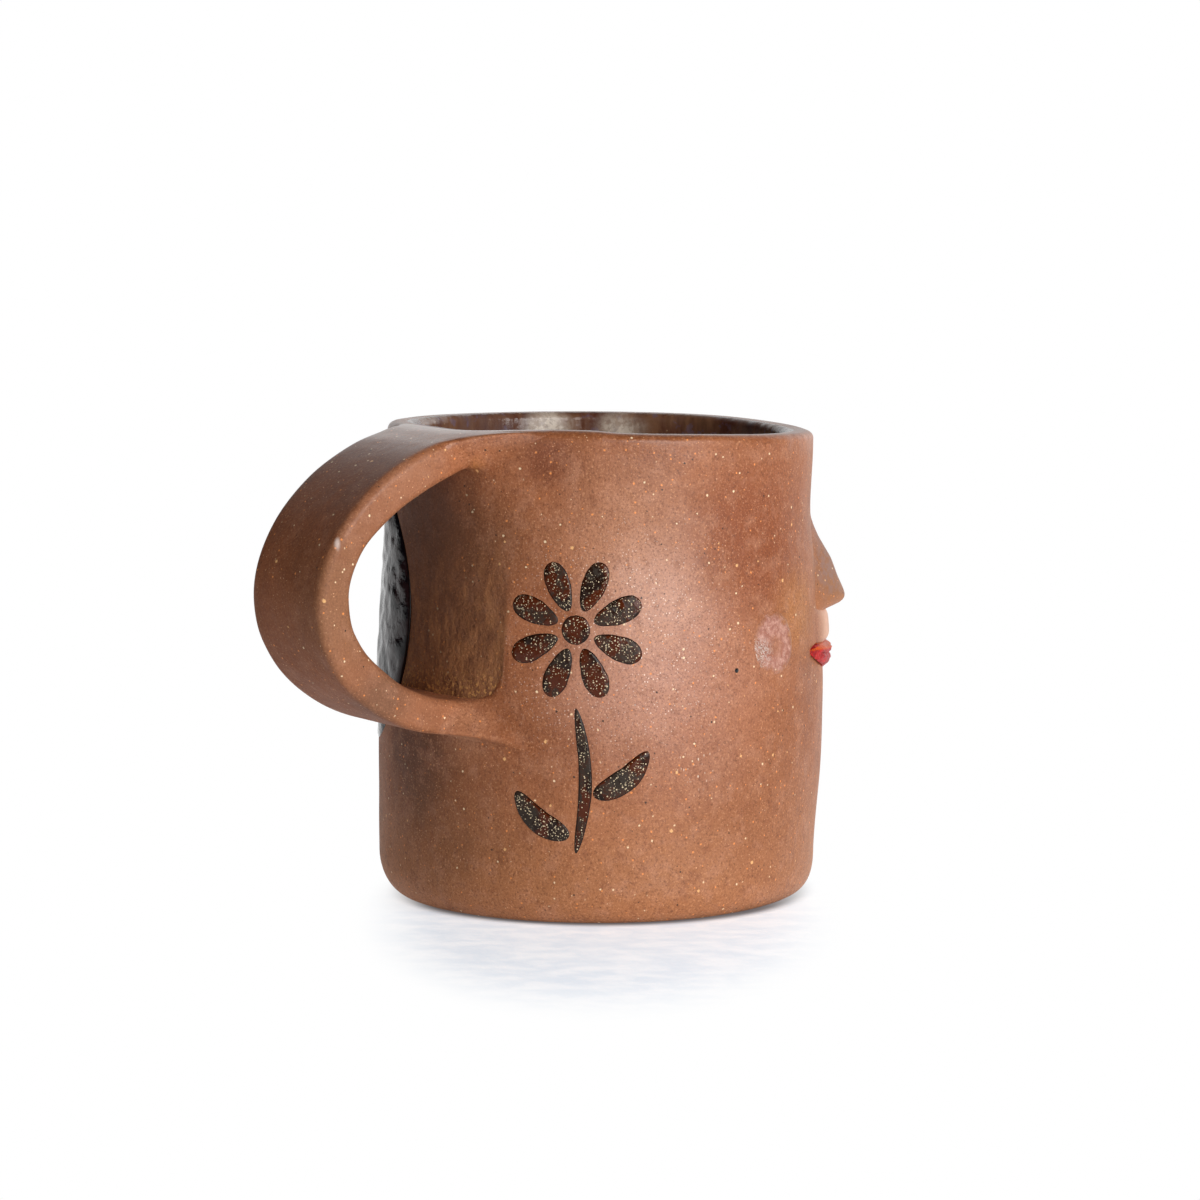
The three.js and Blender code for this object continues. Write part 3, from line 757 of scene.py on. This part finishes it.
# The nose's ridge from brow to underside: mm up, and mm off the wall.
NOSE_RIDGE = (
    (76, 0.0), (73.5, 0.02), (71.8, 0.2), (70, 0.7), (68.1, 1.35), (64, 3.2), (60.5, 4.15), (58.4, 4.95),
    (57.6, 5.2), (57.0, 5.3), (56.4, 5.2), (55.9, 4.85), (55.4, 4.2), (54.8, 2.9), (54.3, 1.6), (53.6, 0.6),
    (53.0, 0.12), (52.6, 0.0),
)


def between(points, x):
    """Straight interpolation in a falling list of (x, y)."""
    for (x0, y0), (x1, y1) in zip(points, points[1:]):
        if x >= x1:
            return y0 + (y1 - y0) * (x0 - x) / (x0 - x1)
    return points[-1][1]


def laid_on_wall(name, columns, rows, place):
    """Lays a sheet on the wall. For u and v from -1 to 1, place(u, v) gives angle, height and lift, and for
    glazes a core value too, which says how far in from the edge the point lies."""
    bpy.ops.object.select_all(action="DESELECT")
    bpy.ops.mesh.primitive_grid_add(x_subdivisions=columns, y_subdivisions=rows, size=2)
    piece = bpy.context.active_object
    piece.name = name
    bpy.ops.object.mode_set(mode="EDIT")
    bpy.ops.mesh.select_all(action="SELECT")
    bpy.ops.mesh.extrude_region_move(TRANSFORM_OT_translate={"value": (0, 0, 1)})
    bpy.ops.object.mode_set(mode="OBJECT")

    core = piece.data.attributes.new("core", "FLOAT", "POINT")
    for vertex in piece.data.vertices:
        angle, height, lift, *inwards = place(vertex.co.x, vertex.co.y)
        core.data[vertex.index].value = inwards[0] if inwards else 1
        if vertex.co.z < 0.5:
            lift = min(SHEET_BACK, lift - 0.2 * MM)
        vertex.co = on_wall(angle, height, lift)
    for face in piece.data.polygons:
        face.use_smooth = True
    bpy.ops.object.mode_set(mode="EDIT")
    bpy.ops.mesh.select_all(action="SELECT")
    bpy.ops.mesh.normals_make_consistent(inside=False)
    bpy.ops.object.mode_set(mode="OBJECT")
    return piece


def nose_place(u, v):
    height = NOSE_LOW + (NOSE_HIGH - NOSE_LOW) * (v + 1) / 2
    around = NOSE_SHEET_HALF * u
    widened = clamped((NOSE_WIDENS_BELOW - height) / NOSE_WIDENS_OVER) ** 0.9
    t = abs(around) / (NOSE_ROOT_HALF + NOSE_WIDENING * widened)
    flank = max(0, 1 - (sqrt(t * t + RIDGE_ROUND) - sqrt(RIDGE_ROUND)))
    flank = flank * flank / (flank + FLANK_EASE) * (1 + FLANK_EASE)
    lift = between(NOSE_RIDGE, height / MM) * flank * MM - EDGE_SUNK
    return FACE + around / WALL_ARC, height, lift


nose = laid_on_wall("nose_wedge", 70, 84, nose_place)
nose.data.materials.append(clay)
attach(nose, "root")
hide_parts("nose")

# Philtrum: a small smooth pad of the same clay between nose and lips, pressed on by fingertip and washed
# with the paler slip of the cheeks.
PHILTRUM_HALF_WIDTH = 12.5 * MM
PHILTRUM_HALF_HEIGHT = 3.7 * MM
PHILTRUM_HEIGHT = 51.5 * MM
PHILTRUM_PROUD = 1.8 * MM
PAD_SUNK = 0.1 * MM


def philtrum_place(u, v):
    lift = PHILTRUM_PROUD * max(0, 1 - u * u) ** 1.5 * max(0, 1 - v ** 4) ** 0.9 - PAD_SUNK
    return FACE + u * PHILTRUM_HALF_WIDTH / WALL_ARC, PHILTRUM_HEIGHT + v * PHILTRUM_HALF_HEIGHT, lift


philtrum = laid_on_wall("philtrum_pad", 28, 28, philtrum_place)
pale, start, place = new_finish("philtrum_clay")
near_middle = place.distance(on_wall(FACE, PHILTRUM_HEIGHT, 1.5 * MM)).rise(12 * MM, 4 * MM)
washed = near_middle * (0.6 + place.cloud(1.6 * MM) * 0.6)
colour = clay_colour(place).under(srgb(220, 172, 144), washed)
fire(start, place.cloud(0.5 * MM, 3, 0.7) * (0.03 * MM), {
    "Base Color": with_grog(place, colour),
    "Roughness": 0.45 + place.cloud(4 * MM) * 0.1,
})
philtrum.data.materials.append(pale)
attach(philtrum, "root")
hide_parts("philtrum")

# Lips: two thin rolls of clay pressed on under the philtrum and brushed with red glaze, which is flecked
# dark and breaks orange along the upper lip's top edge.
MOUTH_HALF = 16.5 * MM
MOUTH_HEIGHT = 46.4 * MM
MOUTH_CURL = 1.1 * MM
lip_glaze, start, place = new_finish("lip_glaze")
colour = place.cloud(1.2 * MM, 4, 0.7).rise(0.38, 0.6).shade(srgb(146, 10, 18), srgb(190, 42, 40))
core = start.add("ShaderNodeAttribute", {"attribute_name": "core"}, {}, "Fac")
upper_edge = (core + (place.cloud(1.2 * MM) - 0.5) * 0.9).rise(1.05, 0.7)
colour = colour.under(srgb(204, 82, 14), upper_edge * 0.95)
colour = colour.under(srgb(104, 34, 22), place.cloud(0.8 * MM, 3, 0.6).rise(0.42, 0.3) * 0.7)
fire(start, place.cloud(0.6 * MM, 3, 0.6) * (0.2 * MM), {
    "Base Color": colour,
    "Roughness": 0.24 + place.cloud(1.5 * MM) * 0.25,
    "Specular IOR Level": 0.1,
})


def disc(u, v):
    """A square's (u, v) drawn in to a round disc."""
    return u * sqrt(1 - v * v / 2), v * sqrt(1 - u * u / 2)


def lip(name, low, high, proud, crown, from_edge):
    """A roll from low to high about the mouth's line, fullest at crown, from -1 at its foot to 1 at its top.
    Its core value grows from 0 along its top by from_edge. Past 1, the glaze stays red."""
    def place(u, v):
        taper = max(0, 1 - u ** 4) ** 0.5
        a, b = disc(u, v)
        height = MOUTH_HEIGHT + MOUTH_CURL * u * u + (low + high) / 2 * taper + (high - low) / 2 * b
        full = 1 - 0.25 * abs(b - crown) ** 2
        knead = 1 + 0.22 * noise.noise(Vector((a * 7, b * 2.5, low * 1000)))
        lift = proud * full * knead * max(0, 1 - a ** 4) * max(0, 1 - b * b) ** 0.42 - PAD_SUNK
        return FACE + a * MOUTH_HALF / WALL_ARC, height, lift, (1 - v) * from_edge

    return laid_on_wall(name, 56, 20, place)


upper_lip = lip("upper_lip_roll", -0.8 * MM, 1.7 * MM, 1.9 * MM, 0.1, 1)
lower_lip = lip("lower_lip_roll", -3.3 * MM, 0.2 * MM, 1.75 * MM, 0.7, 9)
for roll, node in ((upper_lip, "upper_lip"), (lower_lip, "lower_lip")):
    roll.data.materials.append(lip_glaze)
    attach(roll, "root")
    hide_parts(node)

# Cheeks: a round patch of pink slip dabbed on each side of the face. It dried wrinkled, with a raised edge
# towards the mouth, is worn thin in its middle so that the clay shows through, and curls in flakes behind.
BLUSH_TURN = radians(40.4)
BLUSH_HEIGHT = 50.5 * MM
BLUSH_RADIUS = 5.9 * MM
blush_slip, start, place = new_finish("blush_slip")
core = start.add("ShaderNodeAttribute", {"attribute_name": "core"}, {}, "Fac")
cover = (place.cloud(2.2 * MM, 5, 0.7) + core * 0.5).rise(0.6, 0.9)
pink = place.cloud(1.2 * MM, 4, 0.7).rise(0.4, 0.62).shade(srgb(164, 106, 90), srgb(202, 152, 136))
pink = pink.under(srgb(240, 212, 198), place.specks(0.5 * MM, 0.7, 0.12 * MM) * 0.7)
curled = 0
for side in (1, -1):
    centre = FACE - side * BLUSH_TURN
    worn = patch(place, on_wall(centre, BLUSH_HEIGHT - 0.6 * MM, 0), 2.6 * MM, 0.6)
    cover = cover * (1 - 0.75 * worn)
    behind = on_wall(centre - side * 4 * MM / BELLY, BLUSH_HEIGHT - 1.3 * MM, 0)
    curled = patch(place, behind, 3.2 * MM, 0.6) + curled
flakes = abs(place.cloud(0.8 * MM, 3, 0.6) - 0.5).rise(0.05, 0.015) * curled
colour = with_grog(place, clay_colour(place)).under(pink, cover * 0.85)
colour = colour.under(srgb(236, 214, 202), flakes * 0.85)
fire(start, cover * place.cloud(0.8 * MM, 4, 0.65) * (0.3 * MM) + flakes * (0.12 * MM), {
    "Base Color": colour,
    "Roughness": 0.42 + cover * 0.12,
    "Specular IOR Level": 0.38,
})


def blush(name, side):
    def place(u, v):
        a, b = disc(u, v)
        rho = a * a + b * b
        wrinkle = noise.noise(Vector((a, b, side)) * 3.4)
        edge = bell((sqrt(rho) - 0.86) / 0.13) * max(0, 0.35 + 0.65 * side * a)
        lift = (0.16 + 0.07 * wrinkle + 0.2 * edge) * MM * (1 - rho ** 5) - 0.05 * MM
        wave = 1 + 0.05 * noise.noise(Vector((a, b, 7.0 + side)))
        angle = FACE - side * BLUSH_TURN + a * BLUSH_RADIUS * wave / WALL_ARC
        return angle, BLUSH_HEIGHT + b * BLUSH_RADIUS * 1.03 * wave, lift, 1 - rho ** 2

    return laid_on_wall(name, 48, 48, place)


near_blush = blush("near_cheek_patch", 1)
far_blush = blush("far_cheek_patch", -1)
for cheek, node in ((near_blush, "near_blush"), (far_blush, "far_blush")):
    cheek.data.materials.append(blush_slip)
    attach(cheek, "root")
    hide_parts(node)

# Spot: the large dark round of glaze behind the handle, poured thick, so it has run into ripples. Behind the
# cup its outline is guessed from the strip of it that shows past the handle.
SPOT_ANGLE = radians(138)
SPOT_HEIGHT = 54.3 * MM
SPOT_HALF_WIDTH = 24.3 * MM
SPOT_HALF_HEIGHT = 25.3 * MM


def glaze_finish(name, thick, thin, dried, shine):
    """A glossy glaze of two colours, black along its edge. Dried, from 0 to 1, is how far its thin places
    went grey and grew crystals of gold."""
    material, start, place = new_finish(name)
    core = start.add("ShaderNodeAttribute", {"attribute_name": "core"}, {}, "Fac")
    colour = place.cloud(5 * MM, 3, 0.5).rise(0.42, 0.52).shade(thick, thin)
    dry = place.cloud(4.5 * MM, 4, 0.55).rise(0.5, 0.56) * dried
    mottled = 0.5 + place.cloud(0.45 * MM, 3, 0.8).rise(0.4, 0.6) * 0.5
    colour = colour.under(srgb(50, 41, 33), dry * mottled)
    edge = core.rise(0.45, 0.15)
    crowded = place.cloud(4 * MM, 4, 0.6).rise(0.44, 0.56)
    gold = place.stretched(1, -1, 1).specks(0.4 * MM, 0.9, 0.15 * MM) * crowded
    gold = (gold + place.specks(0.44 * MM, 0.9, 0.16 * MM)) * (1 - edge) * dried
    colour = colour.under(srgb(238, 216, 178), gold).under(srgb(20, 13, 11), edge * 0.95)
    height = place.cloud(1.1 * MM, 3, 0.6) * (0.10 * MM) + gold * (0.05 * MM) - dry * (0.03 * MM)
    fire(start, height, {
        "Base Color": colour,
        "Roughness": 0.08 + dry * 0.3 + gold * 0.1,
        "Specular IOR Level": shine,
    })
    return material


def spot_place(u, v):
    a, b = disc(u, v)
    rho = a * a + b * b
    ripple = noise.noise(Vector((a * 3, b * 4, 3.0))) + 0.55 * noise.noise(Vector((a * 8, b * 11, 9.0)))
    lift = (0.36 + 0.28 * ripple) * MM * (1 - rho ** 24) - 0.06 * MM
    wave = 1 + 0.02 * noise.noise(Vector((2 * a, 2 * b, 1.0)))
    inwards = min(1, (1 - sqrt(rho)) * SPOT_HALF_WIDTH / (0.9 * MM))
    angle = SPOT_ANGLE + a * SPOT_HALF_WIDTH * wave / WALL_ARC
    return angle, SPOT_HEIGHT + b * SPOT_HALF_HEIGHT * wave, lift, inwards


spot = laid_on_wall("back_spot_glaze", 120, 120, spot_place)
spot.data.materials.append(glaze_finish("dark_glaze_poured", srgb(16, 10, 16), srgb(44, 26, 28), 0, 0.1))
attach(spot, "root")
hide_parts("back_spot")

# Flower: a plain flower on the near side, a dot with eight petals over a stem with two leaves, brushed in the
# same iron-black glaze. Each stroke is a low domed coat, rust-red where it melted thick, and grey with
# crystals of gold where it dried thin.
FLOWER_ANGLE = radians(-138)
FLOWER_HEIGHT = 54.5 * MM
COAT = 0.3 * MM
COAT_SUNK = 0.05 * MM
DOT_RADIUS = 2.7 * MM
PETALS = 8
PETAL_FOOT = 3.6 * MM
PETAL_LENGTH = 9.6 * MM
PETAL_HALF = 2.3 * MM
STEM_TOP = -14.0 * MM
STEM_LENGTH = 27.0 * MM
STEM_SWAY = 1.8 * MM
STEM_HALF = 1.25 * MM
LEAF_FOOT = 1.9 * MM
LEAF_LENGTH = 13.0 * MM
LEAF_BEND = 1.5 * MM
LEAF_HALF = 2.4 * MM
LEAF_LEAN = radians(52)
dark_glaze = glaze_finish("dark_glaze", srgb(34, 17, 8), srgb(78, 30, 6), 1, 0.2)


def stroke(name, columns, rows, line, half):
    """One brush stroke: for t from 0 to 1, line(t) is its middle and half(t) its half width, in metres along
    the wall and up it."""
    x0, z0 = line(0)
    x1, z1 = line(1)
    half_length = hypot(x1 - x0, z1 - z0) / 2

    def place(u, v):
        a, b = disc(u, v)
        rho = min(1, a * a + b * b)
        t = (a + 1) / 2
        x, z = line(t)
        x1, z1 = line(t + 0.01)
        step = hypot(x1 - x, z1 - z)
        width = half(t) * (1 + 0.06 * noise.noise(Vector((a * 3, b, half_length / MM + z0 / MM))))
        x, z = x + (z - z1) / step * b * width, z + (x1 - x) / step * b * width
        from_side = (sqrt(max(0, 1 - a * a)) - abs(b)) * width
        from_end = (1 - abs(a)) * half_length
        lift = COAT * (1 - rho ** 6) * (1 + 0.25 * noise.noise(Vector((x, z, 0)) / (2 * MM))) - COAT_SUNK
        inwards = min(from_side, from_end) / (0.8 * MM)
        return FLOWER_ANGLE + x / WALL_ARC, FLOWER_HEIGHT + z, lift, inwards

    piece = laid_on_wall(name, columns, rows, place)
    piece.data.materials.append(dark_glaze)
    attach(piece, "root")
    return piece


dot = stroke("flower_dot_glaze", 24, 24, lambda t: (DOT_RADIUS * (2 * t - 1), 0), lambda t: DOT_RADIUS)
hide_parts("flower_dot")
for i in range(PETALS):
    lean = (i + 0.5) * 2 * pi / PETALS

    def petal_line(t):
        reach = PETAL_FOOT + PETAL_LENGTH * t
        return reach * sin(lean), reach * cos(lean)

    petal = stroke(f"flower_petal_glaze_{i + 1}", 40, 16, petal_line, lambda t: PETAL_HALF * (0.75 + 0.5 * t))
    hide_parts(f"flower_petal_{i + 1}")


def stem_line(t):
    return STEM_SWAY * sin(pi * t), STEM_TOP - STEM_LENGTH * t


stem = stroke("flower_stem_glaze", 80, 12, stem_line, lambda t: STEM_HALF)
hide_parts("flower_stem")
for number, side, foot_share in ((1, -1, 0.08), (2, 1, 0.36)):
    foot_x, foot_z = stem_line(1 - foot_share)

    def leaf_line(t):
        reach = LEAF_LENGTH * t + LEAF_FOOT
        bend = LEAF_BEND * sin(pi * t)
        lean = side * LEAF_LEAN
        x = foot_x + reach * sin(lean) + bend * cos(lean) * side
        return x, foot_z + reach * cos(lean) - bend * sin(lean) * side

    leaf = stroke(f"flower_leaf_glaze_{number}", 48, 16, leaf_line, lambda t: LEAF_HALF * (1.1 - 0.3 * t))
    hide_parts(f"flower_leaf_{number}")

# Table: a white top with faint streaks. In a soft oval near the mug it keeps the streaks, bluish there as
# painted shade, the shadow, and a thin painted contact shadow round the foot. Beyond that it is plain white,
# for the camera and in gloss.
ABREAST = (0.743, -0.669, 0)
AHEAD = (-0.669, -0.743, 0)
OVAL_SQUEEZE = 2.1
OVAL_SHIFT = 24 * MM
OVAL_EDGE = (98 * MM, 62 * MM)
CONTACT_SHADOW_RING = (42.5 * MM, 38.5 * MM)
bpy.ops.mesh.primitive_plane_add(size=8, location=(0, 0, -0.05 * MM))
table_top = bpy.context.active_object
table_top.name = "table_top"
table_white, start, place = new_finish("table_white")
abreast = place.along(ABREAST)
ahead = place.along(AHEAD)
brushed = place.add("ShaderNodeCombineXYZ", {}, {0: abreast * 0.35, 1: ahead * 0.6})
streaks = brushed.cloud(3 * MM, 4, 0.65).rise(0.36, 0.66)
# In the oval by the mug, these bluish streaks are painted shade.
tint = streaks.shade(srgb(230, 238, 247), srgb(247, 250, 254))
# A painted contact shadow: a dark ring round the foot.
tint = tint.under(srgb(60, 50, 50), place.length().rise(*CONTACT_SHADOW_RING) * 0.85)
top = start.add("ShaderNodeBsdfPrincipled", {}, {"Base Color": tint, "Roughness": 0.6})
glow = start.add("ShaderNodeEmission", {}, {"Color": tint, "Strength": 0.56})
# For the light it sends onto the mug the top also glows faintly: painted bounce light.
dim_glow = start.add("ShaderNodeEmission", {}, {"Strength": 0.26})
unseen = start.add("ShaderNodeAddShader", {}, {0: top, 1: dim_glow})
plain_white = start.add("ShaderNodeEmission", {}, {"Color": (1, 1, 1, 1), "Strength": 1})
lit = start.add("ShaderNodeAddShader", {}, {0: top, 1: glow})
oval = place.add("ShaderNodeCombineXYZ", {}, {0: abreast * OVAL_SQUEEZE, 1: ahead - OVAL_SHIFT})
near_mug = oval.length().rise(*OVAL_EDGE)
seen_top = start.add("ShaderNodeMixShader", {}, {0: near_mug, 1: plain_white, 2: lit})
ray = start.add("ShaderNodeLightPath", {}, {}, "Is Camera Ray")
looked_at = ray + ray.other("Is Glossy Ray")
whole_top = start.add("ShaderNodeMixShader", {}, {0: looked_at, 1: unseen, 2: seen_top})
start.add("ShaderNodeOutputMaterial", {}, {"Surface": whole_top})
table_top.data.materials.append(table_white)

# Light: one wide soft lamp to the right of the camera, which makes the sheen down the middle of the cup, and
# a room whose walls are white to the camera and, behind the mug, in gloss, but give the mug less light.
ROOM_GLOW = 0.02
# The walls' brighter places: azimuth and elevation in degrees, how narrow, and how strong.
BRIGHT_WALLS = (
    (206, 12, 16, 0.35), (345, 12, 16, 0.3), (18, 12, 16, 2.4), (48, 14, 10, 1.1), (78, 48, 10, 0.5),
)
world = bpy.data.worlds.new("white_room")
bpy.context.scene.world = world
world.use_nodes = True
world.node_tree.nodes.clear()
room = Tone(world.node_tree)
ray = room.add("ShaderNodeLightPath", {}, {}, "Is Camera Ray")
heading = room.add("ShaderNodeTexCoord", {}, {}, "Generated")


def direction(azimuth, elevation):
    a = radians(azimuth)
    e = radians(elevation)
    return Vector((cos(a) * cos(e), sin(a) * cos(e), sin(e)))


walls = ROOM_GLOW
for azimuth, elevation, narrowness, strength in BRIGHT_WALLS:
    aimed_at_it = heading.along(direction(azimuth, elevation)).at_least(0.0001)
    walls = aimed_at_it ** narrowness * strength + walls
sky = room.add("ShaderNodeBackground", {}, {"Color": (1, 1, 1, 1), "Strength": walls})
white = room.add("ShaderNodeBackground", {}, {"Color": (1, 1, 1, 1), "Strength": 1})
backdrop = ray.other("Is Glossy Ray") * heading.along(direction(48, 12)).rise(0.76, 0.93)
both = room.add("ShaderNodeMixShader", {}, {0: ray + backdrop, 1: sky, 2: white})
room.add("ShaderNodeOutputWorld", {}, {"Surface": both})

LAMP_AWAY = 0.9
LAMP_AIM = Vector((0, 0, 0.05))
window_light = bpy.data.lights.new("window", "AREA")
window_light.shape = "RECTANGLE"
window_light.size = 0.8
window_light.size_y = 0.6
window_light.energy = 8.9
window = bpy.data.objects.new("window", window_light)
bpy.context.scene.collection.objects.link(window)
toward_window = direction(267, 12)
window.location = toward_window * LAMP_AWAY + LAMP_AIM
window.rotation_euler = toward_window.to_track_quat("Z", "Y").to_euler()

# Camera: a little above the mug and square to the way the face looks, so that the face is seen from its
# side at the right and the handle comes forward at the left.
CAMERA_PLACE = (-0.4425, -0.4914, 0.1226)
LOOKS_DOWN = radians(5.775)
camera = bpy.data.objects.new("camera", bpy.data.cameras.new("camera"))
bpy.context.scene.collection.objects.link(camera)
camera.location = CAMERA_PLACE
camera.rotation_euler = (pi / 2 - LOOKS_DOWN, 0, FACE)
camera.data.lens = 103.38
camera.data.clip_start = 0.01
bpy.context.scene.camera = camera
bpy.context.scene.view_settings.view_transform = "Standard"
